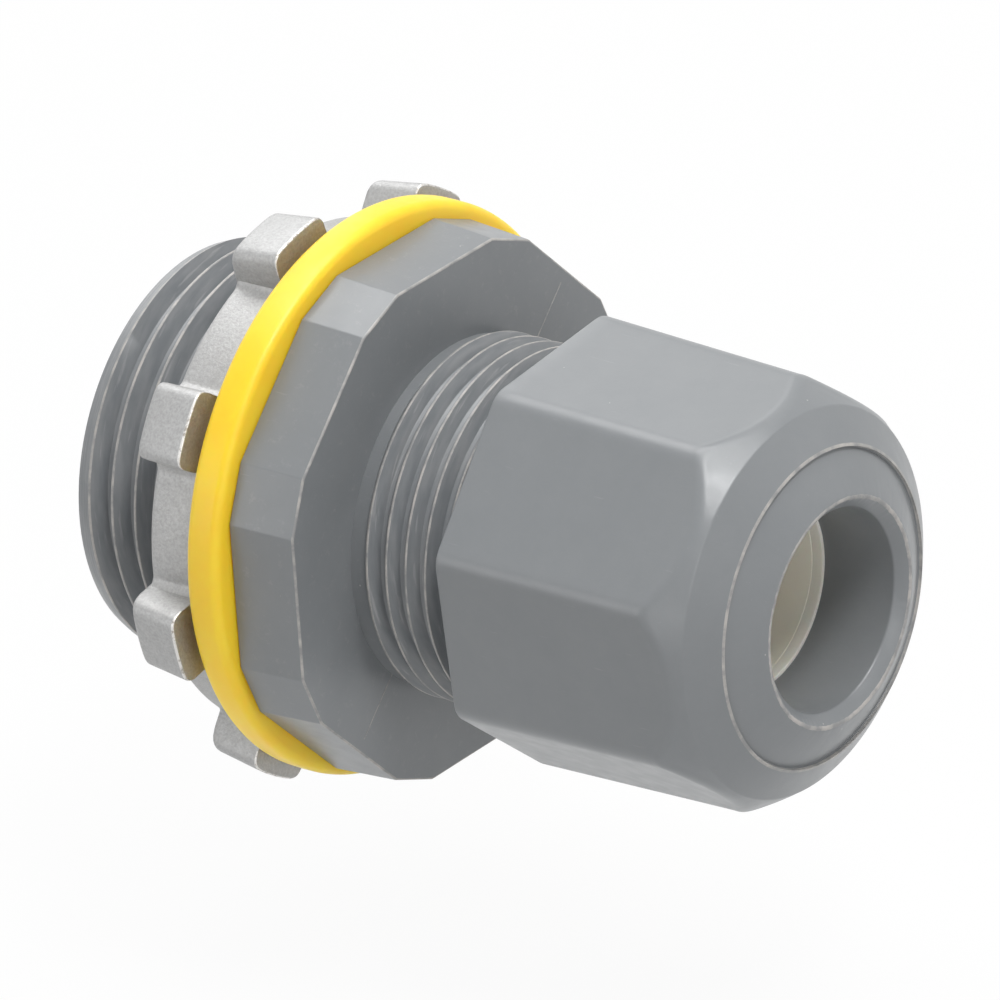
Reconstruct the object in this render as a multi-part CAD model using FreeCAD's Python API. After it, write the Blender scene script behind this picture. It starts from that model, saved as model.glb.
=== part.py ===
"""Strain relief cord connector, 3/4 in. trade size, in millimetres.

The X axis is the connector's own axis and points out of the cord opening. X 0 is the back face of the
flange, the face that closes on a box wall. +Z is up, through a flat of the octagonal flange.
The two outside threads are rows of ring grooves at the thread's pitch, in place of a helix.
"""
import FreeCAD, Part
import math
import os

os.makedirs("parts", exist_ok=True)

SIDES = 8

# Hub: the box-side thread of a 3/4 in. trade size, 14 threads to the inch
hub_thread_r = 13.335
hub_pitch = 25.4 / 14
hub_thread_depth = 1.12
hub_len = 15.3
hub_tip_run = 1.1
hub_tip_drop = 0.435
hub_relief_depth = 1.035
hub_relief_len = 1.8
hub_relief_round = 0.3
hub_wall = 3.135
hub_bore_edge = 0.6
hub_bore_round = 1.0
hub_bore_end_x = 4.0

# Octagonal flange with its corners cut off
flange_thick = 4.75
flange_rim = 4.165
flange_draft = 0.3
flange_corner_half_angle = 6.4
flange_edge = 0.3
flange_turn = 22.5

# Front stub: the thread that carries the gland nut, and the socket inside it
stub_thread_r = 11.55
stub_pitch = 1.5
stub_thread_depth = 0.86
stub_lead = 0.12
stub_len = 16.25
stub_edge = 0.5
stub_wall = 2.25
neck_drop = 0.35
neck_len = 1.25
socket_edge = 0.4
socket_end_x = 8.0
passage_round = 0.4

# Shape of both threads: flanks 60 degrees apart, with flat crests
thread_flank_angle = 30
thread_crest_flat = 0.2

# Sealing ring behind the flange. It hangs loose on the hub, so it lies off the axis by ring_hang
ring_thick = 2.5
ring_width = 4.285
ring_round = 0.45
ring_clear = 0.6
ring_hang = 0.43
ring_hang_turn = 120.7

# Locknut, die cast, with eight lugs round a band
thread_clear = 0.05
locknut_len = 4.65
locknut_wall = 2.715
locknut_round = 0.35
locknut_mouth = 0.5
lug_setback = 0.9
lug_half_width = 2.5
lug_height = 2.35
lug_flare = 0.45
lug_corner_round = 0.8
lug_back_edge = 0.45
lug_root_depth = 1.2
lug_turn = 12.5

# Gland nut: an octagon that narrows to a domed nose with a round opening
bare_thread = 8.55
nut_wall = 2.69
nut_draft = 0.64
nut_corner_round = 1.8
nut_back_edge = 0.35
nut_turn = 27.5
nut_mouth = 0.6
nose_thick = 6.0
dome_back = 5.0
dome_back_drop = 0.65
dome_front = 2.83
dome_front_drop = 1.99
dome_round = 1.6
step_back = 1.32
step_drop = 4.13
step_depth = 0.22
step_width = 0.15
lip_width = 0.85
lip_round = 0.25
lip_chamfer = 0.75

# Cord passage, slip washer and grommet
passage_clear = 1.25
opening_clear = 0.25
squeeze_gap = 6.0
washer_thick = 0.8
washer_bore_clear = 0.05
washer_rim_clear = 0.4
washer_edge = 0.2
grommet_seat_gap = 5.4
grommet_side_clear = 0.3
grommet_wall = 2.9
grommet_front_run = 1.8
grommet_front_drop = 0.7
grommet_back_edge = 0.4
grommet_bore_edge = 0.15

# Radii that follow from the sizes above
hub_bore_r = hub_thread_r - hub_wall
hub_relief_r = hub_thread_r - hub_relief_depth
flange_corner_r = hub_thread_r + flange_rim
neck_r = stub_thread_r - neck_drop
socket_r = stub_thread_r - stub_wall
grommet_r = socket_r - grommet_side_clear
grommet_bore_r = grommet_r - grommet_wall
cord_bore_r = grommet_bore_r + opening_clear
passage_r = cord_bore_r + passage_clear
ring_bore_r = hub_thread_r + ring_clear
ring_r = ring_bore_r + ring_width
locknut_bore_r = hub_thread_r + thread_clear
locknut_band_r = locknut_bore_r + locknut_wall
lug_back_r = locknut_band_r + lug_height
nut_bore_r = stub_thread_r + thread_clear
nut_corner_r = nut_bore_r + nut_wall
step_r = nut_corner_r - step_drop
lip_r = cord_bore_r + lip_width

# Places along the axis that follow from the sizes above
stub_end_x = flange_thick + stub_len
nut_x = flange_thick + bare_thread
grommet_front_x = stub_end_x + squeeze_gap
grommet_back_x = socket_end_x + grommet_seat_gap
nut_shoulder_x = grommet_front_x + washer_thick
nose_x = nut_shoulder_x + nose_thick
locknut_front_x = -ring_thick
locknut_back_x = locknut_front_x - locknut_len

# How far a cutting or joining shape runs past the face that it crosses
overrun = 1.0

AXIS = FreeCAD.Vector(1, 0, 0)
ORIGIN = FreeCAD.Vector(0, 0, 0)


def rounded_wire(points):
    """A closed wire through (vector, radius) pairs, with each corner rounded to its radius."""
    trims = []
    for i, (here, radius) in enumerate(points):
        if radius == 0:
            trims.append((here, None, here))
            continue
        to_before = (points[i - 1][0] - here).normalize()
        to_after = (points[(i + 1) % len(points)][0] - here).normalize()
        half = math.acos(to_before.dot(to_after)) / 2
        run = radius / math.tan(half)
        inward = (to_before + to_after).normalize()
        middle = here + inward * (radius / math.sin(half) - radius)
        trims.append((here + to_before * run, middle, here + to_after * run))
    edges = []
    for i, (start, middle, end) in enumerate(trims):
        if middle is not None:
            edges.append(Part.Arc(start, middle, end).toShape())
        following = trims[(i + 1) % len(trims)][0]
        edges.append(Part.LineSegment(end, following).toShape())
    return Part.Wire(edges)


def turned(profile):
    """A solid of revolution about X from (x, radius) or (x, radius, rounding) points."""
    points = []
    for point in profile:
        rounding = point[2] if len(point) > 2 else 0
        points.append((FreeCAD.Vector(point[0], 0, point[1]), rounding))
    return Part.Face(rounded_wire(points)).revolve(ORIGIN, AXIS, 360)


def around(x, radius, degrees):
    """The point at this distance from the axis, counted from +Y towards +Z."""
    angle = math.radians(degrees)
    return FreeCAD.Vector(x, radius * math.cos(angle), radius * math.sin(angle))


def octagon(x, corner_r, rounding, turn):
    """A regular octagon across the axis with rounded corners."""
    step = 360 / SIDES
    return rounded_wire([(around(x, corner_r, turn + step * k), rounding) for k in range(SIDES)])


def cut_octagon(x, corner_r, half_angle, turn):
    """An octagon across the axis whose corners are cut to short facets."""
    step = 360 / SIDES
    points = []
    for k in range(SIDES):
        for side in (-half_angle, half_angle):
            points.append((around(x, corner_r, turn + step * k + side), 0))
    return rounded_wire(points)


def thread_grooves(first_crest_x, end_x, crest_r, pitch, depth):
    """The (x, radius) points of whole grooves between crests, from the first crest towards +X."""
    mouth_half = (pitch - thread_crest_flat) / 2
    root_half = mouth_half - depth * math.tan(math.radians(thread_flank_angle))
    points = []
    for k in range(math.floor((end_x - first_crest_x) / pitch)):
        middle = first_crest_x + pitch * (k + 0.5)
        points.append((middle - mouth_half, crest_r))
        points.append((middle - root_half, crest_r - depth))
        points.append((middle + root_half, crest_r - depth))
        points.append((middle + mouth_half, crest_r))
    return points


def connector_body():
    front_corner_r = flange_corner_r - flange_draft
    edge_x = flange_thick - flange_edge
    sections = [(0, flange_corner_r), (edge_x, front_corner_r), (flange_thick, front_corner_r - flange_edge)]
    wires = [cut_octagon(x, corner_r, flange_corner_half_angle, flange_turn) for x, corner_r in sections]
    flange = Part.makeLoft(wires, True, True)
    core_r = passage_r - overrun
    hub_crest_x = -hub_len + hub_tip_run
    stub_x = flange_thick + neck_len
    hub = [(-hub_len, core_r), (-hub_len, hub_thread_r - hub_tip_drop), (hub_crest_x, hub_thread_r)]
    hub += thread_grooves(hub_crest_x, -hub_relief_len, hub_thread_r, hub_pitch, hub_thread_depth)
    middle = [
        (-hub_relief_len, hub_thread_r),
        (-hub_relief_len, hub_relief_r, hub_relief_round),
        (flange_thick / 2, hub_relief_r),
        (flange_thick / 2, neck_r),
        (stub_x, neck_r),
        (stub_x, stub_thread_r),
    ]
    stub = thread_grooves(
        stub_x + stub_lead, stub_end_x - stub_edge, stub_thread_r, stub_pitch, stub_thread_depth
    )
    stub += [
        (stub_end_x - stub_edge, stub_thread_r),
        (stub_end_x, stub_thread_r - stub_edge),
        (stub_end_x, core_r),
    ]
    spine = turned(hub + middle + stub)
    hollow = turned(
        [
            (-hub_len - overrun, 0),
            (-hub_len - overrun, hub_bore_r + hub_bore_edge + overrun),
            (-hub_len + hub_bore_edge, hub_bore_r),
            (hub_bore_end_x, hub_bore_r, hub_bore_round),
            (hub_bore_end_x, passage_r, passage_round),
            (socket_end_x, passage_r, passage_round),
            (socket_end_x, socket_r),
            (stub_end_x - socket_edge, socket_r),
            (stub_end_x + overrun, socket_r + socket_edge + overrun),
            (stub_end_x + overrun, 0),
        ]
    )
    return spine.fuse(flange).cut(hollow).removeSplitter()


def sealing_ring():
    ring = turned(
        [
            (-ring_thick, ring_bore_r),
            (-ring_thick, ring_r, ring_round),
            (0, ring_r, ring_round),
            (0, ring_bore_r),
        ]
    )
    ring.translate(around(0, ring_hang, ring_hang_turn))
    return ring


def lug_outline(x, tip_r, half_width):
    """A lug across the axis, pointing to +Z, from inside the band to its rounded tip."""
    root_r = locknut_band_r - lug_root_depth
    return rounded_wire(
        [
            (FreeCAD.Vector(x, -half_width, root_r), 0),
            (FreeCAD.Vector(x, -half_width, tip_r), lug_corner_round),
            (FreeCAD.Vector(x, half_width, tip_r), lug_corner_round),
            (FreeCAD.Vector(x, half_width, root_r), 0),
        ]
    )


def locknut():
    band = turned(
        [
            (locknut_back_x, locknut_bore_r + locknut_mouth),
            (locknut_back_x, locknut_band_r, locknut_round),
            (locknut_front_x, locknut_band_r, locknut_round),
            (locknut_front_x, locknut_bore_r + locknut_mouth),
            (locknut_front_x - locknut_mouth, locknut_bore_r),
            (locknut_back_x + locknut_mouth, locknut_bore_r),
        ]
    )
    outlines = [
        lug_outline(locknut_back_x, lug_back_r - lug_back_edge, lug_half_width - lug_back_edge),
        lug_outline(locknut_back_x + lug_back_edge, lug_back_r, lug_half_width),
        lug_outline(locknut_front_x - lug_setback, lug_back_r + lug_flare, lug_half_width),
    ]
    lugs = []
    for k in range(SIDES):
        lug = Part.makeLoft(outlines, True, True)
        lug.rotate(ORIGIN, AXIS, lug_turn - 90 + 360 / SIDES * k)
        lugs.append(lug)
    return band.multiFuse(lugs).removeSplitter()


def gland_nut():
    front_corner_r = nut_corner_r - nut_draft
    sections = [
        (nut_x, nut_corner_r - nut_back_edge),
        (nut_x + nut_back_edge, nut_corner_r),
        (nose_x, front_corner_r),
    ]
    wires = [octagon(x, corner_r, nut_corner_round, nut_turn) for x, corner_r in sections]
    facets = Part.makeLoft(wires, True, True)
    dome_run_per_r = (dome_back - dome_front) / (dome_front_drop - dome_back_drop)
    dome = turned(
        [
            (nut_x - overrun, 0),
            (nut_x - overrun, nut_corner_r + overrun),
            (nose_x - dome_back - dome_run_per_r * (dome_back_drop + overrun), nut_corner_r + overrun),
            (nose_x - dome_front, nut_corner_r - dome_front_drop, dome_round),
            (nose_x - step_back, step_r),
            (nose_x - step_back - step_depth, step_r - step_width),
            (nose_x, lip_r, lip_round),
            (nose_x - lip_chamfer, cord_bore_r),
            (nose_x - 2 * lip_chamfer, 0),
        ]
    )
    cavity = turned(
        [
            (nut_x - overrun, 0),
            (nut_x - overrun, nut_bore_r + nut_mouth + overrun),
            (nut_x + nut_mouth, nut_bore_r),
            (nut_shoulder_x, nut_bore_r),
            (nut_shoulder_x, cord_bore_r),
            (nose_x, cord_bore_r),
            (nose_x, 0),
        ]
    )
    return facets.common(dome).cut(cavity).removeSplitter()


def slip_washer():
    rim_r = nut_bore_r - washer_rim_clear
    bore_r = grommet_bore_r + washer_bore_clear
    return turned(
        [
            (grommet_front_x, bore_r),
            (grommet_front_x, rim_r - washer_edge),
            (grommet_front_x + washer_edge, rim_r),
            (nut_shoulder_x - washer_edge, rim_r),
            (nut_shoulder_x, rim_r - washer_edge),
            (nut_shoulder_x, bore_r),
        ]
    )


def grommet():
    return turned(
        [
            (grommet_back_x, grommet_bore_r + grommet_bore_edge),
            (grommet_back_x, grommet_r - grommet_back_edge),
            (grommet_back_x + grommet_back_edge, grommet_r),
            (grommet_front_x - grommet_front_run, grommet_r),
            (grommet_front_x, grommet_r - grommet_front_drop),
            (grommet_front_x, grommet_bore_r + grommet_bore_edge),
            (grommet_front_x - grommet_bore_edge, grommet_bore_r),
            (grommet_back_x + grommet_bore_edge, grommet_bore_r),
        ]
    )


NODES = {
    "connector_body": connector_body,
    "sealing_ring": sealing_ring,
    "locknut": locknut,
    "slip_washer": slip_washer,
    "grommet": grommet,
    "gland_nut": gland_nut,
}

for name, make in NODES.items():
    shape = make()
    shape.exportStep("parts/" + name + ".step")
    print(name, "solids", len(shape.Solids), "valid", shape.isValid(), "volume", round(shape.Volume, 1))
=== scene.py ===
"""The looks of a strain relief cord connector: meshes, materials, stage, lamps and camera.

Sizes are in millimetres, like the part's own, and each mesh is written in metres. Only the camera, the
lamps and the floor's width are given in metres. Every piece is a skin of rings about the X axis. Ring
angles run from +Y towards +Z, and a profile runs up the back of a piece, forward along its outside, down
its front and back along its inside, so that its faces look outwards.
"""
import math

import bpy
import numpy as np
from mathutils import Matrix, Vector


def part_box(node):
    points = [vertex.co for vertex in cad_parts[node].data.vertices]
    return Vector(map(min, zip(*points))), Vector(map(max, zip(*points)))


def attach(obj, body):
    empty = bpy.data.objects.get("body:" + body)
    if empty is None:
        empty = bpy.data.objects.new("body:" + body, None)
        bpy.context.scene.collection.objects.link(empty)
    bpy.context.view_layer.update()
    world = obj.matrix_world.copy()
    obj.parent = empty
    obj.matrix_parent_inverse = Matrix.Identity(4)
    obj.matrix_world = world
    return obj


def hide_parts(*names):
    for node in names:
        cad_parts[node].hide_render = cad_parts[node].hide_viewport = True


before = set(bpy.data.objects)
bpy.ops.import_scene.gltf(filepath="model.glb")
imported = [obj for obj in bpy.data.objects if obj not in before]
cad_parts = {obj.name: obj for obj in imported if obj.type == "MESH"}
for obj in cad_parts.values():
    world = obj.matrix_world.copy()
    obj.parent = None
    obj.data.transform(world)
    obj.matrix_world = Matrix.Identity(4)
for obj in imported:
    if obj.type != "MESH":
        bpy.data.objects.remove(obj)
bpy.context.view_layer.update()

MM = 0.001
TURN = 2 * math.pi

# Points round a lathed piece, the locknut, the nut and one turn of thread
COLUMNS = 360
LOCKNUT_COLUMNS = 960
NUT_COLUMNS = 480
THREAD_STEPS = 150

# The least angle between two faces that is shaded as an edge
CREASE_DEG = 32


def ends_mm(node):
    """The lowest and highest X of a CAD node, in millimetres."""
    low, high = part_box(node)
    return low.x / MM, high.x / MM


# Places along the axis, from the frame
HUB_BACK, STUB_FRONT = ends_mm("connector_body")
RING_BACK, RING_FRONT = ends_mm("sealing_ring")
LOCKNUT_BACK, LOCKNUT_FRONT = ends_mm("locknut")
NUT_BACK, NOSE = ends_mm("gland_nut")
WASHER_BACK, WASHER_FRONT = ends_mm("slip_washer")
GROMMET_BACK, GROMMET_FRONT = ends_mm("grommet")

# The flange and the nut are both octagons, and both threads have 60 degrees between their flanks.
# A surface laid on another is sunk into it.
SIDES = 8
FLANK_SLOPE = math.tan(math.radians(30))
SINK = 0.1

# Connector body: the hub, which goes into the box
HUB_R = 13.335
HUB_PITCH = 25.4 / 14
HUB_DEPTH = 1.12
HUB_CREST_FLAT = 0.15
HUB_PHASE = -0.5
HUB_TURNS = (-9.2, 0.2)
HUB_TIP_R = 12.9
HUB_TIP_RUN = 1.1
HUB_TIP_BAND = 0.75
HUB_TIP_FADE = 0.5
HUB_RELIEF_R = 12.3
HUB_RELIEF_LEN = 1.8
HUB_BORE_R = 10.2
HUB_BORE_END = 4.0
HUB_BORE_CHAMFER = 0.6

# Its flange, with cut corners and two mould lines across the front
FLANGE_THICK = 4.75
FLANGE_CORNER_R = 17.5
FLANGE_DRAFT = 0.3
FLANGE_CUT_HALF_DEG = 6.4
FLANGE_TURN_DEG = 22.5
FLANGE_BACK_EDGE = 0.12
FLANGE_EDGE = 0.13
FLANGE_OVERLAP = 0.6
FLANGE_CORNER_ROUND = 0.5
MOULD_LINE_TURN_DEG = 44.6
MOULD_LINE_WIDTH = 0.1
MOULD_LINE_HEIGHT = 0.03
MOULD_LINE_SHORT = 0.5

# Its neck, and the stub that the nut screws on
NECK_R = 11.2
NECK_LEN = 1.25
STUB_R = 11.55
STUB_PITCH = 1.5
STUB_DEPTH = 0.86
STUB_CREST_FLAT = 0.13
STUB_PHASE = -0.5
STUB_TURNS = (3.0, 14.8)
STUB_RUN_OUT = 0.3
STUB_RUN_OUT_BACK = 0.5
STUB_RUN_OUT_SINK = 0.05
STUB_CHAMFER = 0.5
SOCKET_R = 9.3
SOCKET_END = 8.0
SOCKET_CHAMFER = 0.4
PASSAGE_R = 7.6

# Sealing ring, which hangs a little off the axis
RING_BORE_R = 13.935
RING_LOW, RING_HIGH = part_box("sealing_ring")
RING_R = (RING_HIGH.y - RING_LOW.y) / 2 / MM
RING_SHIFT = (0, (RING_LOW.y + RING_HIGH.y) / 2 / MM, (RING_LOW.z + RING_HIGH.z) / 2 / MM)
RING_ROUND = 0.6
RING_BORE_ROUND = 0.15
RING_CROWN = 0.02

# Locknut
LOCKNUT_BORE_R = 13.385
LOCKNUT_CHAMFER = 0.5
LOCKNUT_RELIEF = 0.1
LOCKNUT_BAND_R = 16.1
LUG_TURN_DEG = 12.5
LUG_COUNT = 8
LUG_HALF_WIDTH = 2.5
LUG_BACK_R = 18.45
LUG_FRONT_R = 18.9
LUG_SETBACK = 0.9
LUG_SQUARENESS = 8
LUG_FOOT = 0.28
LUG_FOOT_RISE = 0.16
# How far into a lug its front edge takes the pale zinc, partly wear and partly a painted highlight
LUG_WEAR_AND_HIGHLIGHT_SHARE = 0.6

# Gland nut
NUT_CORNER_R = 14.29
NUT_DRAFT = 0.64
NUT_TURN_DEG = 27.5
NUT_CORNER_ROUND = 1.8
NUT_BACK_EDGE = 0.18
NUT_BLEND = 0.35
NUT_THREAD_R = 11.6
NUT_CHAMFER = 0.6
NUT_BORE_R = 6.35
DOME_BACK = 5.0
DOME_BACK_R = 13.64
DOME_FRONT = 2.83
DOME_FRONT_R = 12.3
DOME_ROUND = 0.5
DOME_OVERLAP = 4.0
STEP_BACK = 1.32
STEP_R = 10.16
STEP_DEPTH = 0.2
LIP_R = 7.2
LIP_ROUND = 0.25
LIP_CHAMFER = 0.75
LIP_UNEVEN = 0.025
LIP_UNEVEN_REACH = 0.3
# How far from the nose's rim and lip the pale edge reaches: partly wear, partly a painted highlight
NOSE_WEAR_AND_HIGHLIGHT_REACH = 0.24

# Washer and grommet
WASHER_BORE_R = 6.15
WASHER_R = 11.2
GROMMET_BORE_R = 6.1
GROMMET_R = 9.0
GROMMET_TAPER_RUN = 1.8
GROMMET_TAPER_DROP = 0.7

# The camera, placed in metres, which was fitted to the photo
CAMERA_PLACE = (0.5346, -0.6479, 0.3949)
CAMERA_TILT_DEG = (64.716, 3.606, 37.415)
LENS_MM = 540
SENSOR_MM = 36
CLIP_START = 0.01

# The floor: how far it lies under the axis, half its width in metres, and how white it shows
FLOOR_DROP = 30
FLOOR_HALF_WIDTH = 3.0
FLOOR_WHITE_SHARE = 0.95

# The plain light from all round
SKY_LEVEL = 0.05

# Each lamp's name, its place and its width and depth in metres, and its level
LAMPS = (
    ("overhead", (0.0, 0.12, 0.87), (1.2, 0.5), 1.22),
    ("front", (0.39, -0.18, 0.79), (0.2, 0.2), 0.38),
    ("left", (-0.5, -0.77, 0.14), (0.5, 0.4), 0.14),
    ("front_left", (0.42, -0.79, 0.08), (0.25, 0.2), 0.05),
    ("fill", (0.75, -0.45, 0.3), (0.4, 0.4), 0.13),
    ("back", (-0.7, 0.4, 0.4), (0.6, 0.6), 0.2),
    ("right", (0.65, 0.56, 0.27), (0.7, 0.7), 0.06),
)

# Slots of a mesh: the moulded face, its pale edge (partly wear, partly a painted highlight) and a thread's
# flanks
FACE = 0
EDGE = 1
FLANK = 2


def angles(count):
    """Even steps of angle round one turn."""
    return np.arange(count) * TURN / count


def ring(x, radius, turn_angles):
    """A ring of points about the axis. The place and the radius may each vary round it."""
    theta = np.asarray(turn_angles)
    xs = np.broadcast_to(x, theta.shape)
    rs = np.broadcast_to(radius, theta.shape)
    return np.stack([xs, rs * np.cos(theta), rs * np.sin(theta)], axis=1)


def rounded(profile, steps=5):
    """A profile of (x, radius) points in which a third value rounds the corner to that radius."""
    path = []
    for i, point in enumerate(profile):
        here = Vector(point[:2])
        if len(point) == 2:
            path.append(tuple(here))
            continue
        to_before = (Vector(profile[i - 1][:2]) - here).normalized()
        to_after = (Vector(profile[i + 1][:2]) - here).normalized()
        half = to_before.angle(to_after) / 2
        centre = here + (to_before + to_after).normalized() * (point[2] / math.sin(half))
        start = here + to_before * (point[2] / math.tan(half)) - centre
        end = here + to_after * (point[2] / math.tan(half)) - centre
        for k in range(steps + 1):
            towards = start.slerp(end, k / steps).normalized()
            path.append(tuple(centre + towards * point[2]))
    return path


def wear_and_highlight_slots(path, edges, reach):
    """The slot of each gap of a path: EDGE, the pale edge that is partly wear and partly a painted
    highlight, where it lies within reach of one of the edges.
    """
    slots = []
    for before, after in zip(path, path[1:]):
        middle = (Vector(before) + Vector(after)) / 2
        near = any((middle - Vector(edge)).length < reach for edge in edges)
        slots.append(EDGE if near else FACE)
    return slots


def ragged(theta, size):
    """A small unevenness round an edge, the same each time."""
    waves = ((7, 0.9), (13, 2.1), (23, 0.3), (41, 1.7), (67, 2.9), (97, 0.6))
    total = sum(np.sin(count * theta + phase) for count, phase in waves)
    return size * total / len(waves) * 2


class Skin:
    """Rings and strips of points, gathered into one mesh."""

    def __init__(self):
        self.points = []
        self.faces = []
        self.slots = []

    def band(self, rows, slots=None, closed=True):
        """Joins each row of points to the next. slots gives each gap's slot, one or one a column."""
        first = sum(len(part) for part in self.points)
        rows = [np.asarray(row, float) for row in rows]
        count = len(rows[0])
        self.points.extend(rows)
        last = count if closed else count - 1
        for i in range(len(rows) - 1):
            row_slots = np.broadcast_to(slots[i] if slots else FACE, count).tolist()
            for j in range(last):
                k = (j + 1) % count
                low, high = first + i * count, first + (i + 1) * count
                self.faces.append((low + j, low + k, high + k, high + j))
                self.slots.append(row_slots[j])

    def lathe(self, profile, shift=(0, 0, 0)):
        """A profile turned about the axis, or about a line beside it."""
        theta = angles(COLUMNS)
        self.band([ring(x, r, theta) + np.array(shift) for x, r in profile])

    def piece(self, name, materials):
        """The mesh object, shaded smooth up to its creases."""
        mesh = bpy.data.meshes.new(name)
        points = np.concatenate(self.points) * MM
        mesh.from_pydata(points.tolist(), [], self.faces)
        for material in materials:
            mesh.materials.append(material)
        mesh.polygons.foreach_set("material_index", self.slots)
        mesh.shade_smooth()
        mesh.set_sharp_from_angle(angle=math.radians(CREASE_DEG))
        mesh.update()
        piece = bpy.data.objects.new(name, mesh)
        bpy.context.scene.collection.objects.link(piece)
        return piece


def place(piece, body, node):
    """Sets a piece on its body, in its CAD node's stead."""
    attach(piece, body)
    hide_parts(node)


def v_thread(pitch, crest_r, depth, crest_flat):
    """One pitch of a 60 degree thread from root to root, as (x, radius) with its gaps' slots."""
    flank_run = depth * FLANK_SLOPE
    root_half = pitch / 2 - crest_flat / 2 - flank_run
    crest_half = crest_flat / 2
    soft = crest_flat / 3
    fillet = root_half / 2
    rise = fillet / FLANK_SLOPE
    root_lift = 0.02
    half = [
        (-pitch / 2, -depth),
        (-pitch / 2 + root_half - fillet, -depth + root_lift),
        (-pitch / 2 + root_half + fillet / 2, -depth + rise / 2),
        (-crest_half - soft / 2, -soft),
        (-crest_half, -soft / 3),
        (-crest_half + soft, 0),
    ]
    profile = half + [(-x, y) for x, y in reversed(half)]
    # The crest gaps take the pale edge slot: partly wear, partly a painted highlight.
    slots = [FLANK, FLANK, FLANK, EDGE, EDGE, EDGE, EDGE, EDGE, FLANK, FLANK, FLANK]
    return [(x, crest_r + y) for x, y in profile], slots


def screw(skin, thread, pitch, phase_x, turns, limit):
    """Winds a thread up a right-hand helix from its first to its last turn. limit(x, r) trims its ends."""
    profile, slots = thread
    first = math.floor(turns[0] * THREAD_STEPS)
    last = math.ceil(turns[1] * THREAD_STEPS)
    turn = np.arange(first, last + 1) / THREAD_STEPS
    theta = turn * TURN
    rows = []
    for offset, radius in profile:
        x, r = limit(phase_x + turn * pitch + offset, np.full(turn.shape, radius))
        rows.append(np.stack([x, r * np.cos(theta), r * np.sin(theta)], axis=1))
    skin.band(rows, slots, closed=False)


def cut_octagon(corner_r, inset, rounding):
    """The flange's outline, an octagon with cut corners, as (y, z) points with rounded corners."""
    steps = 4
    corners = []
    for i in range(SIDES):
        for side in (-FLANGE_CUT_HALF_DEG, FLANGE_CUT_HALF_DEG):
            angle = math.radians(FLANGE_TURN_DEG + 360 / SIDES * i + side)
            corners.append(Vector((math.cos(angle), math.sin(angle))) * corner_r)
    outline = []
    for i, here in enumerate(corners):
        to_before = (corners[i - 1] - here).normalized()
        to_after = (corners[(i + 1) % len(corners)] - here).normalized()
        half = to_before.angle(to_after) / 2
        inward = (to_before + to_after).normalized()
        centre = here + inward * ((inset + rounding) / math.sin(half))
        spread = math.pi / 2 - half
        away = math.atan2(-inward.y, -inward.x)
        for k in range(steps + 1):
            angle = away + spread * (2 * k / steps - 1)
            outline.append(centre + Vector((math.cos(angle), math.sin(angle))) * rounding)
    return outline


def flange(skin):
    """The octagonal flange, a closed band whose front edge is rounded and pale, partly from wear and
    partly a painted highlight.
    """
    front_r = FLANGE_CORNER_R - FLANGE_DRAFT
    sections = [
        (0.0, FLANGE_CORNER_R, FLANGE_BACK_EDGE),
        (FLANGE_BACK_EDGE, FLANGE_CORNER_R, 0.0),
        (FLANGE_THICK - FLANGE_EDGE, front_r, 0.0),
    ]
    steps = 5
    for k in range(1, steps + 1):
        bend = math.pi / 2 * k / steps
        x = FLANGE_THICK - FLANGE_EDGE * (1 - math.sin(bend))
        sections.append((x, front_r, FLANGE_EDGE * (1 - math.cos(bend))))
    rows = []
    for x, corner_r, inset in sections:
        outline = cut_octagon(corner_r, inset, FLANGE_CORNER_ROUND)
        rows.append(np.array([(x, p.x, p.y) for p in outline]))
    theta = np.arctan2(rows[0][:, 2], rows[0][:, 1])
    inner_r = NECK_R - FLANGE_OVERLAP
    rows.insert(0, ring(0.0, inner_r, theta))
    rows.append(ring(FLANGE_THICK, inner_r, theta))
    skin.band(rows, [FACE, FACE, FACE] + [EDGE] * steps + [FACE])


def mould_lines(skin):
    """The two fine ridges that the mould's halves leave across the flange's front."""
    half = MOULD_LINE_WIDTH / 2
    lift = np.array([MOULD_LINE_HEIGHT, 0, 0])
    side_r = FLANGE_CORNER_R * math.cos(math.radians(FLANGE_TURN_DEG))
    for turn in (MOULD_LINE_TURN_DEG, MOULD_LINE_TURN_DEG + 180):
        angle = math.radians(turn)
        out = np.array([0, math.cos(angle), math.sin(angle)])
        side = np.array([0, -math.sin(angle), math.cos(angle)])
        rows = []
        for r in (NECK_R - SINK, side_r - MOULD_LINE_SHORT):
            middle = out * r + np.array([FLANGE_THICK, 0, 0])
            rows.append([middle - side * half, middle + lift, middle + side * half])
        skin.band(rows, [EDGE], closed=False)


def hub_limit(x, r):
    """Trims the hub's thread at the relief under the ring and at the chamfered tip."""
    slope = (HUB_R - HUB_TIP_R) / HUB_TIP_RUN
    cone = np.minimum(HUB_TIP_R + np.maximum(x - HUB_BACK, 0) * slope, HUB_R)
    filled = cone - HUB_DEPTH * np.clip((x - HUB_BACK - HUB_TIP_BAND) / HUB_TIP_FADE, 0, 1)
    r = np.maximum(np.minimum(r, cone), filled)
    r = np.where(x > -HUB_RELIEF_LEN, HUB_R - HUB_DEPTH - SINK, r)
    return np.clip(x, HUB_BACK, -HUB_RELIEF_LEN), r


def stub_limit(x, r):
    """Trims the stub's thread at the neck and at the chamfered front."""
    start_x = FLANGE_THICK + NECK_LEN - STUB_RUN_OUT_BACK
    start_r = NECK_R - STUB_RUN_OUT_SINK
    fade = np.clip((x - start_x) / STUB_RUN_OUT, 0, 1)
    r = start_r + (r - start_r) * fade
    r = np.minimum(r, STUB_R - (x - STUB_FRONT + STUB_CHAMFER))
    r = np.where(x > STUB_FRONT, STUB_R - STUB_DEPTH - SINK, r)
    return np.clip(x, start_x, STUB_FRONT), r


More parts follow.
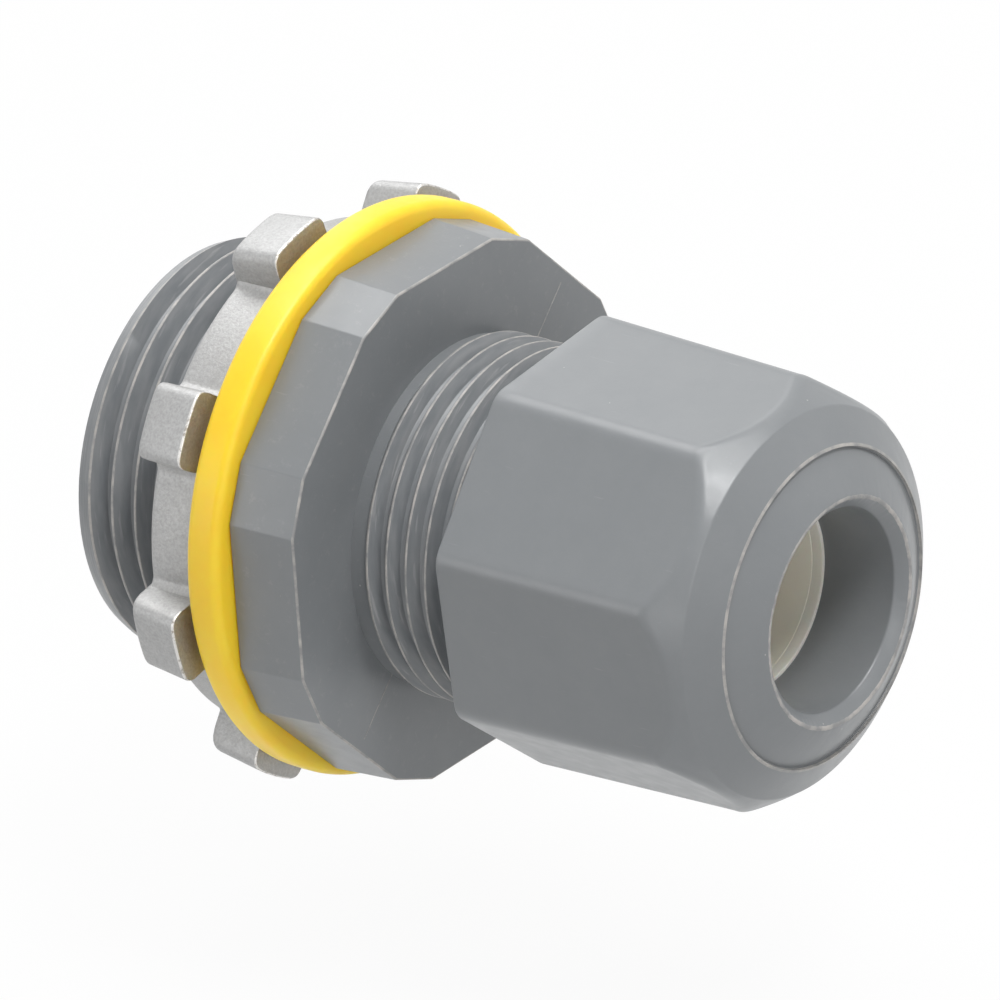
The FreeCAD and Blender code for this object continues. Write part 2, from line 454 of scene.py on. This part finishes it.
def connector_body(materials):
    """The body: a lathed hub behind the flange, a lathed neck and stub before it, and both threads."""
    skin = Skin()
    hub_root_r = HUB_R - HUB_DEPTH
    stub_root_r = STUB_R - STUB_DEPTH
    neck_x = FLANGE_THICK + NECK_LEN
    skin.lathe(
        rounded(
            [
                (HUB_BACK, HUB_BORE_R + HUB_BORE_CHAMFER),
                (HUB_BACK, HUB_TIP_R - 0.02, 0.12),
                (HUB_BACK + HUB_TIP_BAND, HUB_TIP_R + 0.1),
                (HUB_BACK + HUB_TIP_BAND + HUB_TIP_FADE, hub_root_r),
                (-HUB_RELIEF_LEN, hub_root_r),
                (0.1, HUB_RELIEF_R),
            ]
        )
    )
    skin.lathe(
        rounded(
            [
                (FLANGE_THICK - 0.1, NECK_R),
                (neck_x, NECK_R, 0.15),
                (neck_x + 0.3, stub_root_r),
                (STUB_FRONT, stub_root_r, 0.1),
                (STUB_FRONT, SOCKET_R + SOCKET_CHAMFER),
                (STUB_FRONT - SOCKET_CHAMFER, SOCKET_R),
                (SOCKET_END, SOCKET_R, 0.3),
                (SOCKET_END, PASSAGE_R, 0.4),
                (HUB_BORE_END, PASSAGE_R, 0.4),
                (HUB_BORE_END, HUB_BORE_R, 1.0),
                (HUB_BACK + HUB_BORE_CHAMFER, HUB_BORE_R),
                (HUB_BACK, HUB_BORE_R + HUB_BORE_CHAMFER),
            ]
        )
    )
    flange(skin)
    mould_lines(skin)
    hub_thread = v_thread(HUB_PITCH, HUB_R, HUB_DEPTH, HUB_CREST_FLAT)
    screw(skin, hub_thread, HUB_PITCH, HUB_PHASE, HUB_TURNS, hub_limit)
    stub_thread = v_thread(STUB_PITCH, STUB_R, STUB_DEPTH, STUB_CREST_FLAT)
    screw(skin, stub_thread, STUB_PITCH, STUB_PHASE, STUB_TURNS, stub_limit)
    place(skin.piece("body_moulding", materials), "connector", "connector_body")


def sealing_ring(materials):
    """The soft ring behind the flange, with rounded outer edges."""
    skin = Skin()
    middle = (RING_BACK + RING_FRONT) / 2
    profile = [
        (middle, RING_BORE_R),
        (RING_BACK, RING_BORE_R, RING_BORE_ROUND),
        (RING_BACK, RING_R, RING_ROUND),
        (middle, RING_R + RING_CROWN),
        (RING_FRONT, RING_R, RING_ROUND),
        (RING_FRONT, RING_BORE_R, RING_BORE_ROUND),
        (middle, RING_BORE_R),
    ]
    skin.lathe(rounded(profile), shift=RING_SHIFT)
    place(skin.piece("seal", materials), "seal", "sealing_ring")


def lug_share(theta):
    """How far each angle stands in a lug, from 0 beside it to 1 on its crown, as a soft tongue."""
    step = TURN / LUG_COUNT
    offset = (theta - math.radians(LUG_TURN_DEG) + step / 2) % step - step / 2
    across = np.abs(offset) * (LOCKNUT_BAND_R + LUG_FRONT_R) / 2 / LUG_HALF_WIDTH
    crown = np.clip(1 - across ** LUG_SQUARENESS, 0, 1) ** (2 / LUG_SQUARENESS)
    foot = np.clip((1 + LUG_FOOT - across) / LUG_FOOT, 0, 1)
    return np.maximum(crown, LUG_FOOT_RISE * foot ** 2)


def locknut(materials):
    """The cast locknut: the band's profile turns into a lug's and back eight times round."""
    band = rounded(
        [
            (LOCKNUT_BACK, LOCKNUT_BORE_R + LOCKNUT_CHAMFER),
            (LOCKNUT_BACK, LOCKNUT_BAND_R, 0.4),
            (LOCKNUT_FRONT - LUG_SETBACK, LOCKNUT_BAND_R + 0.02, 0.1),
            (LOCKNUT_FRONT - LUG_SETBACK / 2, LOCKNUT_BAND_R, 0.1),
            (LOCKNUT_FRONT, LOCKNUT_BAND_R, 0.25),
            (LOCKNUT_FRONT, LOCKNUT_BORE_R + LOCKNUT_CHAMFER),
        ]
    )
    lug = rounded(
        [
            (LOCKNUT_BACK, LOCKNUT_BORE_R + LOCKNUT_CHAMFER),
            (LOCKNUT_BACK, LUG_BACK_R, 0.5),
            (LOCKNUT_FRONT - LUG_SETBACK, LUG_FRONT_R + 0.1, 0.14),
            (LOCKNUT_FRONT - LUG_SETBACK, LOCKNUT_BAND_R, 0.12),
            (LOCKNUT_FRONT, LOCKNUT_BAND_R, 0.25),
            (LOCKNUT_FRONT, LOCKNUT_BORE_R + LOCKNUT_CHAMFER),
        ]
    )
    theta = angles(LOCKNUT_COLUMNS)
    share = lug_share(theta)
    rows = []
    for (band_x, band_r), (lug_x, lug_r) in zip(band, lug):
        rows.append(ring(band_x + (lug_x - band_x) * share, band_r + (lug_r - band_r) * share, theta))
    slots = [FACE] * (len(rows) - 1)
    # The rings behind the middle of the band's own rounding there are the lug's pale front edge, partly
    # wear and partly a painted highlight
    lug_front = LOCKNUT_FRONT - LUG_SETBACK
    front_edge = band.index(min(band, key=lambda point: abs(point[0] - lug_front)))
    for i in range(front_edge - 3, front_edge + 1):
        slots[i] = np.where(share > LUG_WEAR_AND_HIGHLIGHT_SHARE, EDGE, FACE)
    skin = Skin()
    skin.band(rows, slots)
    bore = [
        (LOCKNUT_FRONT, LOCKNUT_BORE_R + LOCKNUT_CHAMFER),
        (LOCKNUT_FRONT - LOCKNUT_CHAMFER, LOCKNUT_BORE_R + LOCKNUT_RELIEF),
        (LOCKNUT_BACK + LOCKNUT_CHAMFER, LOCKNUT_BORE_R + LOCKNUT_RELIEF),
        (LOCKNUT_BACK, LOCKNUT_BORE_R + LOCKNUT_CHAMFER),
    ]
    skin.lathe(bore)
    place(skin.piece("cast_locknut", materials), "locknut", "locknut")


def octagon_r(theta, apothem, rounding):
    """The radius of the nut's octagon at each angle, with its corners rounded."""
    half = math.pi / SIDES
    from_corner = (theta - math.radians(NUT_TURN_DEG) + half) % (2 * half) - half
    from_flat = half - np.abs(from_corner)
    centre_r = (apothem - rounding) / math.cos(half)
    arc = centre_r * np.cos(from_corner) + np.sqrt(rounding ** 2 - (centre_r * np.sin(from_corner)) ** 2)
    arc_starts = math.atan2(centre_r * math.sin(half), apothem)
    return np.where(from_flat < arc_starts, apothem / np.cos(from_flat), arc)


def soft_min(a, b, blend):
    """The lower of two radii, with a fillet where they cross."""
    share = np.clip(0.5 + 0.5 * (b - a) / blend, 0, 1)
    return b + (a - b) * share - blend * share * (1 - share) * 0.5


def nut_outside(theta):
    """The nut's back edge, sides, dome and step, as rings, with the slot of each gap between them."""
    corner = math.cos(math.pi / SIDES)
    fall = DOME_OVERLAP * (DOME_BACK_R - DOME_FRONT_R) / (DOME_BACK - DOME_FRONT)
    dome = rounded(
        [
            (NOSE - DOME_BACK - DOME_OVERLAP, DOME_BACK_R + fall),
            (NOSE - DOME_FRONT, DOME_FRONT_R, DOME_ROUND),
            (NOSE - STEP_BACK - 0.07, STEP_R + 0.1),
            (NOSE - STEP_BACK, STEP_R),
        ],
        steps=10,
    )
    rows = [ring(NUT_BACK, NUT_THREAD_R + NUT_CHAMFER, theta)]
    steps = 4
    for k in range(steps):
        bend = math.pi / 2 * k / steps
        drop = NUT_BACK_EDGE * (1 - math.sin(bend))
        r = octagon_r(theta, NUT_CORNER_R * corner - drop, NUT_CORNER_ROUND)
        rows.append(ring(NUT_BACK + NUT_BACK_EDGE * (1 - math.cos(bend)), r, theta))
    # Few rings along the flats, and close ones where the dome's arcs cut into them
    sides = np.linspace(NUT_BACK + NUT_BACK_EDGE, NOSE - DOME_BACK - 2.0, 12)
    crown = np.linspace(NOSE - DOME_BACK - 1.8, dome[1][0], 28)
    dome_x = np.array([x for x, r in dome])
    dome_r = np.array([r for x, r in dome])
    outside = [(x, np.interp(x, dome_x, dome_r)) for x in np.concatenate([sides, crown])] + dome[2:]
    for x, dome_here in outside:
        corner_r = NUT_CORNER_R - NUT_DRAFT * (x - NUT_BACK) / (NOSE - NUT_BACK)
        side_r = octagon_r(theta, corner_r * corner, NUT_CORNER_ROUND)
        rows.append(ring(x, soft_min(side_r, np.full(theta.shape, dome_here), NUT_BLEND), theta))
    return rows, [FACE] * (len(rows) - 2) + [EDGE]


def nut_inside(theta):
    """The nut's nose, lip, bore and cavity, as rings, with the slot of each gap from the rim on."""
    rim = (NOSE - STEP_BACK, STEP_R)
    lip = (NOSE, LIP_R)
    profile = rounded(
        [
            (rim[0] + 0.03, rim[1] - 0.08),
            (rim[0] - STEP_DEPTH + 0.06, rim[1] - 0.14),
            (rim[0] - STEP_DEPTH, rim[1] - 0.2),
            (lip[0] - 0.18, lip[1] + 0.4),
            (*lip, LIP_ROUND),
            (lip[0] - 0.36, lip[1] - 0.4),
            (NOSE - LIP_CHAMFER, NUT_BORE_R + 0.08, 0.3),
            (NOSE - LIP_CHAMFER - 1.0, NUT_BORE_R + 0.05),
            (NOSE - LIP_CHAMFER - 1.3, NUT_BORE_R),
            (WASHER_FRONT, NUT_BORE_R),
            (WASHER_FRONT, NUT_THREAD_R, 0.3),
            (NUT_BACK + NUT_CHAMFER, NUT_THREAD_R),
            (NUT_BACK, NUT_THREAD_R + NUT_CHAMFER),
        ]
    )
    rows = []
    for x, r in profile:
        near_lip = math.hypot(x - lip[0], r - lip[1]) < LIP_UNEVEN_REACH
        rows.append(ring(x, r + (ragged(theta, LIP_UNEVEN) if near_lip else 0), theta))
    # The rim and lip get the pale edge slot: partly wear, partly a painted highlight
    return rows, wear_and_highlight_slots([rim] + profile, (rim, lip), NOSE_WEAR_AND_HIGHLIGHT_REACH)


def gland_nut(materials):
    """The nut, whose flats run into the dome, with its stepped nose and raised lip."""
    theta = angles(NUT_COLUMNS)
    outside, outside_slots = nut_outside(theta)
    inside, inside_slots = nut_inside(theta)
    skin = Skin()
    skin.band(outside + inside, outside_slots + inside_slots)
    place(skin.piece("nut_moulding", materials), "gland_nut", "gland_nut")


def slip_washer(materials):
    """The thin washer between the nut's shoulder and the grommet."""
    skin = Skin()
    middle = (WASHER_BACK + WASHER_FRONT) / 2
    skin.lathe(
        rounded(
            [
                (middle, WASHER_BORE_R),
                (WASHER_BACK, WASHER_BORE_R, 0.02),
                (WASHER_BACK, WASHER_R, 0.2),
                (WASHER_FRONT, WASHER_R, 0.2),
                (WASHER_FRONT, WASHER_BORE_R, 0.08),
                (middle, WASHER_BORE_R),
            ]
        )
    )
    place(skin.piece("nylon_washer", materials), "clamp", "slip_washer")


def grommet(materials):
    """The sleeve that the nut squeezes on the cord, tapered at its front."""
    skin = Skin()
    middle = (GROMMET_BACK + GROMMET_FRONT) / 2
    skin.lathe(
        rounded(
            [
                (middle, GROMMET_BORE_R),
                (GROMMET_BACK, GROMMET_BORE_R, 0.4),
                (GROMMET_BACK, GROMMET_R, 0.5),
                (GROMMET_FRONT - GROMMET_TAPER_RUN, GROMMET_R, 0.5),
                (GROMMET_FRONT, GROMMET_R - GROMMET_TAPER_DROP, 0.2),
                (GROMMET_FRONT, GROMMET_BORE_R, 0.03),
                (middle, GROMMET_BORE_R),
            ]
        )
    )
    place(skin.piece("soft_grommet", materials), "clamp", "grommet")


class Nodes:
    """A material's node tree, with its shader and coordinates in millimetres."""

    def __init__(self, name):
        self.material = bpy.data.materials.new(name)
        self.material.use_nodes = True
        self.tree = self.material.node_tree
        self.shader = self.tree.nodes["Principled BSDF"]
        coordinates = self.add("ShaderNodeTexCoord")
        scale = self.add("ShaderNodeMapping")
        scale.inputs["Scale"].default_value = (1 / MM, 1 / MM, 1 / MM)
        self.link(coordinates.outputs["Object"], scale.inputs["Vector"])
        self.mm = scale.outputs["Vector"]

    def add(self, kind):
        return self.tree.nodes.new(kind)

    def link(self, a, b):
        self.tree.links.new(a, b)

    def noise(self, scale, detail=2.0, roughness=0.5, stretch=None, turn=None):
        """Noise, with scale in cells a millimetre. stretch and turn draw it out along a slanted line."""
        vector = self.mm
        if stretch:
            mapping = self.add("ShaderNodeMapping")
            mapping.inputs["Scale"].default_value = stretch
            mapping.inputs["Rotation"].default_value = turn
            self.link(vector, mapping.inputs["Vector"])
            vector = mapping.outputs["Vector"]
        texture = self.add("ShaderNodeTexNoise")
        texture.inputs["Scale"].default_value = scale
        texture.inputs["Detail"].default_value = detail
        texture.inputs["Roughness"].default_value = roughness
        self.link(vector, texture.inputs["Vector"])
        return texture.outputs["Fac"]

    def rings(self, scale, stretch):
        """Noise drawn out round the X axis, as tool marks are, to stretch times its width."""
        split = self.add("ShaderNodeSeparateXYZ")
        self.link(self.mm, split.inputs["Vector"])
        flat = self.add("ShaderNodeCombineXYZ")
        self.link(split.outputs["Y"], flat.inputs["Y"])
        self.link(split.outputs["Z"], flat.inputs["Z"])
        radius = self.add("ShaderNodeVectorMath")
        radius.operation = "LENGTH"
        self.link(flat.outputs["Vector"], radius.inputs[0])
        drawn = self.add("ShaderNodeVectorMath")
        drawn.operation = "SCALE"
        drawn.inputs["Scale"].default_value = 1 / stretch
        self.link(flat.outputs["Vector"], drawn.inputs[0])
        along = self.add("ShaderNodeMath")
        along.operation = "ADD"
        self.link(split.outputs["X"], along.inputs[0])
        self.link(radius.outputs["Value"], along.inputs[1])
        joined = self.add("ShaderNodeCombineXYZ")
        self.link(along.outputs["Value"], joined.inputs["X"])
        total = self.add("ShaderNodeVectorMath")
        self.link(joined.outputs["Vector"], total.inputs[0])
        self.link(drawn.outputs["Vector"], total.inputs[1])
        texture = self.add("ShaderNodeTexNoise")
        texture.inputs["Scale"].default_value = scale
        texture.inputs["Detail"].default_value = 3
        self.link(total.outputs["Vector"], texture.inputs["Vector"])
        return texture.outputs["Fac"]

    def spread(self, value, low, high, to_low=0.0, to_high=1.0):
        """Maps low..high of a value to to_low..to_high, and holds it there outside."""
        node = self.add("ShaderNodeMapRange")
        node.inputs["From Min"].default_value = low
        node.inputs["From Max"].default_value = high
        node.inputs["To Min"].default_value = to_low
        node.inputs["To Max"].default_value = to_high
        self.link(value, node.inputs["Value"])
        return node.outputs["Result"]

    def mix(self, share, first, second):
        """Two colours or sockets, mixed by a share."""
        node = self.add("ShaderNodeMix")
        node.data_type = "RGBA"
        self.link(share, node.inputs["Factor"])
        sockets = [socket for socket in node.inputs if socket.type == "RGBA"]
        for socket, colour in zip(sockets, (first, second)):
            if isinstance(colour, tuple):
                socket.default_value = (*colour, 1)
            else:
                self.link(colour, socket)
        return next(socket for socket in node.outputs if socket.type == "RGBA")

    def bump(self, height, depth_mm, strength, under=None):
        """A height as a bent normal, on top of another bump if one is given."""
        node = self.add("ShaderNodeBump")
        node.inputs["Distance"].default_value = depth_mm * MM
        node.inputs["Strength"].default_value = strength
        self.link(height, node.inputs["Height"])
        if under:
            self.link(under, node.inputs["Normal"])
        return node.outputs["Normal"]

    def finish(self, colour, roughness, normal, **values):
        """Links the sockets to the shader and sets its plain values. Returns the material."""
        self.link(colour, self.shader.inputs["Base Color"])
        self.link(roughness, self.shader.inputs["Roughness"])
        self.link(normal, self.shader.inputs["Normal"])
        for name, value in values.items():
            self.shader.inputs[name.replace("_", " ")].default_value = value
        return self.material


def specks(nodes, scale, size, share):
    """Small round spots, 1 inside. share is the part of the cells that hold one."""
    cells = nodes.add("ShaderNodeTexVoronoi")
    cells.inputs["Scale"].default_value = scale
    nodes.link(nodes.mm, cells.inputs["Vector"])
    spot = nodes.spread(cells.outputs["Distance"], size, size * 0.5)
    split = nodes.add("ShaderNodeSeparateColor")
    nodes.link(cells.outputs["Color"], split.inputs["Color"])
    chosen = nodes.spread(split.outputs["Red"], share, share * 0.9)
    product = nodes.add("ShaderNodeMath")
    product.operation = "MULTIPLY"
    nodes.link(spot, product.inputs[0])
    nodes.link(chosen, product.inputs[1])
    return product.outputs["Value"]


def grey_plastic(name, scuffed):
    """Moulded grey plastic, with a faint mottle, specks and fine scratches. scuffed shows more of them."""
    nodes = Nodes(name)
    mottle = nodes.spread(nodes.noise(0.22, detail=9, roughness=0.75), 0.3, 0.7)
    colour = nodes.mix(mottle, (0.195, 0.206, 0.215), (0.211, 0.221, 0.229))
    if scuffed:
        scuffs = nodes.spread(nodes.noise(1.3, detail=9, roughness=0.8), 0.56, 0.78, to_high=0.55)
        colour = nodes.mix(scuffs, colour, (0.33, 0.33, 0.33))
    scratch = nodes.noise(1.0, stretch=(0.35, 5.0, 5.0), turn=(0.9, 1.0, 0.6))
    colour = nodes.mix(nodes.spread(scratch, 0.72, 0.77, to_high=0.16), colour, (0.36, 0.365, 0.37))
    share = 0.4 if scuffed else 0.2
    colour = nodes.mix(specks(nodes, 0.6, 0.04, share), colour, (0.42, 0.42, 0.41))
    grain = nodes.bump(nodes.noise(7.0, detail=3), 0.01, 0.35)
    normal = nodes.bump(nodes.noise(0.25, detail=2), 0.12, 0.2, under=grain)
    roughness = nodes.spread(nodes.noise(0.8, detail=3), 0.3, 0.7, 0.28, 0.36)
    return nodes.finish(colour, roughness, normal)


def wear_and_highlight_plastic():
    """The same plastic, paler, on edges and thread crests: partly wear and partly a painted edge
    highlight.
    """
    nodes = Nodes("wear_and_highlight_plastic")
    patch = nodes.spread(nodes.noise(0.9, detail=4, roughness=0.6), 0.38, 0.62)
    colour = nodes.mix(patch, (0.25, 0.252, 0.25), (0.42, 0.4, 0.38))
    normal = nodes.bump(nodes.noise(5.0, detail=3), 0.02, 0.5)
    roughness = nodes.spread(patch, 0, 1, 0.36, 0.5)
    return nodes.finish(colour, roughness, normal)


def thread_plastic():
    """The same plastic on a thread's flanks, with fine lines along the thread."""
    nodes = Nodes("thread_plastic")
    lines = nodes.rings(5.0, 14)
    tone = nodes.spread(lines, 0.35, 0.65)
    colour = nodes.mix(tone, (0.175, 0.186, 0.196), (0.225, 0.233, 0.24))
    scuffs = nodes.spread(nodes.rings(9.0, 30), 0.62, 0.72, to_high=0.5)
    colour = nodes.mix(scuffs, colour, (0.36, 0.36, 0.36))
    normal = nodes.bump(lines, 0.03, 0.6)
    roughness = nodes.spread(nodes.noise(0.8, detail=3), 0.3, 0.7, 0.3, 0.4)
    return nodes.finish(colour, roughness, normal)


def yellow_seal():
    """Soft yellow plastic, smooth and slightly translucent."""
    nodes = Nodes("yellow_seal")
    mottle = nodes.spread(nodes.noise(0.25, detail=3), 0.35, 0.65)
    colour = nodes.mix(mottle, (1.0, 0.61, 0.02), (1.0, 0.66, 0.028))
    normal = nodes.bump(nodes.noise(2.0, detail=2), 0.01, 0.3)
    roughness = nodes.spread(nodes.noise(1.2, detail=2), 0.3, 0.7, 0.36, 0.46)
    return nodes.finish(
        colour,
        roughness,
        normal,
        Subsurface_Weight=0.6,
        Subsurface_Radius=(1.0, 0.6, 0.15),
        Subsurface_Scale=0.002,
    )


def cast_zinc():
    """Die cast zinc alloy, as cast: pale, matt and finely grained."""
    nodes = Nodes("cast_zinc")
    grain = nodes.noise(5.5, detail=4, roughness=0.65)
    tone = nodes.spread(grain, 0.35, 0.65)
    colour = nodes.mix(tone, (0.34, 0.34, 0.338), (0.43, 0.43, 0.428))
    normal = nodes.bump(grain, 0.05, 0.7)
    roughness = nodes.spread(nodes.noise(1.5, detail=3), 0.3, 0.7, 0.42, 0.56)
    return nodes.finish(colour, roughness, normal, Metallic=0.7)


def wear_and_highlight_zinc():
    """The zinc along the lugs' front edges, broken into bright bits and dark pits; the bright bits are
    partly wear and partly a painted highlight.
    """
    nodes = Nodes("wear_and_highlight_zinc")
    bright = nodes.spread(nodes.noise(3.5, detail=3, roughness=0.6), 0.36, 0.5)
    colour = nodes.mix(bright, (0.34, 0.32, 0.29), (0.66, 0.65, 0.63))
    normal = nodes.bump(nodes.noise(5.5, detail=3), 0.05, 0.8)
    roughness = nodes.spread(bright, 0, 1, 0.5, 0.38)
    return nodes.finish(colour, roughness, normal, Metallic=0.8)


def cream(name, dark, light, shine):
    """Natural nylon or cream rubber, with a faint cloudiness."""
    nodes = Nodes(name)
    cloud = nodes.spread(nodes.noise(0.4, detail=3), 0.35, 0.65)
    colour = nodes.mix(cloud, dark, light)
    normal = nodes.bump(nodes.noise(3.0, detail=3), 0.015, 0.3)
    roughness = nodes.spread(nodes.noise(1.0, detail=2), 0.3, 0.7, shine, shine + 0.1)
    return nodes.finish(colour, roughness, normal, Subsurface_Weight=0.1, Subsurface_Scale=0.001)


def background_ray(tree):
    """1 for a ray that shows the background: from the camera, a reflection or through glass."""
    path = tree.nodes.new("ShaderNodeLightPath")
    total = path.outputs["Is Camera Ray"]
    for name in ("Is Glossy Ray", "Is Transmission Ray"):
        higher = tree.nodes.new("ShaderNodeMath")
        higher.operation = "MAXIMUM"
        tree.links.new(total, higher.inputs[0])
        tree.links.new(path.outputs[name], higher.inputs[1])
        total = higher.outputs["Value"]
    return total


def stage():
    """A white floor under the part, which keeps a trace of its shadow."""
    size = FLOOR_HALF_WIDTH
    mesh = bpy.data.meshes.new("floor")
    corners = [(-size, -size), (size, -size), (size, size), (-size, size)]
    mesh.from_pydata([(x, y, -FLOOR_DROP * MM) for x, y in corners], [], [(0, 1, 2, 3)])
    floor = bpy.data.objects.new("floor", mesh)
    bpy.context.scene.collection.objects.link(floor)
    material = bpy.data.materials.new("floor")
    material.use_nodes = True
    tree = material.node_tree
    shader = tree.nodes["Principled BSDF"]
    shader.inputs["Base Color"].default_value = (0.7, 0.7, 0.7, 1)
    shader.inputs["Roughness"].default_value = 0.9
    shader.inputs["Specular IOR Level"].default_value = 0.0
    glow = tree.nodes.new("ShaderNodeEmission")
    mix = tree.nodes.new("ShaderNodeMixShader")
    share = tree.nodes.new("ShaderNodeMath")
    share.operation = "MULTIPLY"
    share.inputs[1].default_value = FLOOR_WHITE_SHARE
    tree.links.new(background_ray(tree), share.inputs[0])
    tree.links.new(share.outputs["Value"], mix.inputs["Fac"])
    tree.links.new(shader.outputs["BSDF"], mix.inputs[1])
    tree.links.new(glow.outputs["Emission"], mix.inputs[2])
    tree.links.new(mix.outputs["Shader"], tree.nodes["Material Output"].inputs["Surface"])
    mesh.materials.append(material)


def sky():
    """White where the background shows, and plain soft light from all round."""
    world = bpy.data.worlds.new("studio")
    bpy.context.scene.world = world
    world.use_nodes = True
    tree = world.node_tree
    light = tree.nodes["Background"]
    light.inputs["Color"].default_value = (1, 1, 1, 1)
    strength = tree.nodes.new("ShaderNodeMapRange")
    strength.inputs["To Min"].default_value = SKY_LEVEL
    strength.inputs["To Max"].default_value = 1.0
    tree.links.new(background_ray(tree), strength.inputs["Value"])
    tree.links.new(strength.outputs["Result"], light.inputs["Strength"])


def lamp(name, place_m, size_m, level):
    """A soft lamp, wide and deep, aimed at the part. level 1 alone shows a colour as it is written."""
    data = bpy.data.lights.new(name, "AREA")
    data.shape = "RECTANGLE"
    data.size, data.size_y = size_m
    distance = Vector(place_m).length
    data.energy = level * math.pi ** 2 * distance ** 2
    lamp_object = bpy.data.objects.new(name, data)
    lamp_object.location = place_m
    lamp_object.rotation_euler = Vector(place_m).to_track_quat("Z", "Y").to_euler()
    lamp_object.visible_camera = False
    bpy.context.scene.collection.objects.link(lamp_object)


def camera():
    """The camera that the picture is taken through."""
    data = bpy.data.cameras.new("photo_camera")
    data.lens = LENS_MM
    data.sensor_width = SENSOR_MM
    data.clip_start = CLIP_START
    view = bpy.data.objects.new("photo_camera", data)
    view.location = CAMERA_PLACE
    view.rotation_euler = [math.radians(angle) for angle in CAMERA_TILT_DEG]
    bpy.context.scene.collection.objects.link(view)
    bpy.context.scene.camera = view


camera()
# The pale edge material is partly wear and partly a painted edge highlight; the second is the thread
# flanks' plastic
edge_and_flank_materials = [wear_and_highlight_plastic(), thread_plastic()]
connector_body([grey_plastic("scuffed_plastic", True)] + edge_and_flank_materials)
gland_nut([grey_plastic("grey_plastic", False)] + edge_and_flank_materials)
sealing_ring([yellow_seal()])
locknut([cast_zinc(), wear_and_highlight_zinc()])
slip_washer([cream("natural_nylon", (0.9, 0.86, 0.77), (0.93, 0.9, 0.82), 0.4)])
grommet([cream("cream_rubber", (0.93, 0.88, 0.76), (0.95, 0.91, 0.8), 0.5)])
stage()
sky()
for name, place_m, size_m, level in LAMPS:
    lamp(name, place_m, size_m, level)
bpy.context.scene.view_settings.view_transform = "Standard"
